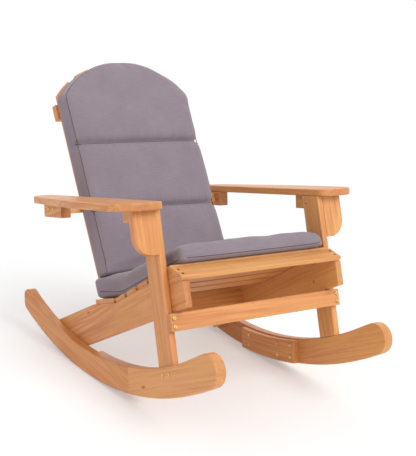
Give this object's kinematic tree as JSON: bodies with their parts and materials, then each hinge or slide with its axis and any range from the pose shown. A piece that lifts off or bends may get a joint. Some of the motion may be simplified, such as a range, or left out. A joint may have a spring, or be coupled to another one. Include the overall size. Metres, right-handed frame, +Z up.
{
  "type": "rocking adirondack chair",
  "caption": "Slatted wooden rocking armchair with reclined arched back, broad arms, long two-piece curved runners and a padded lift-off cushion.",
  "frame": {"origin": "centre of the chair's box, on the floor under the runners", "axes": "+X to the chair's right as seen from the front, +Y to the back, +Z up; the front faces -Y"},
  "size_m": [0.788, 1.0038, 0.786],
  "materials": {
    "oiled_wood": "satin oiled hardwood",
    "cushion_fabric": "matt woven polyester",
    "yellow_zinc_screw": "bright",
    "dark_screw": "dark"
  },
  "bodies": {
    "chair": {"apron_bolts": "yellow_zinc_screw", "arm_cross_rail": "oiled_wood", "back_slat_1": "oiled_wood", "back_slat_2": "oiled_wood", "back_slat_3": "oiled_wood", "back_slat_4": "oiled_wood", "back_slat_5": "oiled_wood", "back_slat_6": "oiled_wood", "back_slat_low_screws": "dark_screw", "back_slat_middle_screws": "dark_screw", "back_slat_top_screws": "dark_screw", "cross_rail_screws": "yellow_zinc_screw", "front_apron": "oiled_wood", "front_arm_screws": "dark_screw", "left_arm": "oiled_wood", "left_arm_bracket": "oiled_wood", "left_arm_front_cleat": "oiled_wood", "left_arm_rear_cleat": "oiled_wood", "left_front_leg": "oiled_wood", "left_rocker_front": "oiled_wood", "left_rocker_rear": "oiled_wood", "left_rocker_splice_plate": "oiled_wood", "left_side_rail": "oiled_wood", "leg_cleat_screws": "yellow_zinc_screw", "leg_rail_screws": "yellow_zinc_screw", "leg_rocker_screws": "yellow_zinc_screw", "lower_back_cross_rail": "oiled_wood", "rail_rocker_screws": "yellow_zinc_screw", "rear_arm_screws": "dark_screw", "right_arm": "oiled_wood", "right_arm_bracket": "oiled_wood", "right_arm_front_cleat": "oiled_wood", "right_arm_rear_cleat": "oiled_wood", "right_front_leg": "oiled_wood", "right_rocker_front": "oiled_wood", "right_rocker_rear": "oiled_wood", "right_rocker_splice_plate": "oiled_wood", "right_side_rail": "oiled_wood", "seat_slat_2": "oiled_wood", "seat_slat_3": "oiled_wood", "seat_slat_4": "oiled_wood", "seat_slat_5": "oiled_wood", "seat_slat_6": "oiled_wood", "seat_slat_front": "oiled_wood", "seat_slat_rear": "oiled_wood", "seat_slat_screws": "dark_screw", "splice_screws": "yellow_zinc_screw", "top_back_batten": "oiled_wood"},
    "cushion": {"cushion_seat": "cushion_fabric", "cushion_back": "cushion_fabric"}
  },
  "joints": [
    {"name": "cushion_lift_off", "type": "slide", "parent": "chair", "child": "cushion", "axis": [0, -0.0839, 0.9965], "range_m": [0, 0.3]}
  ]
}
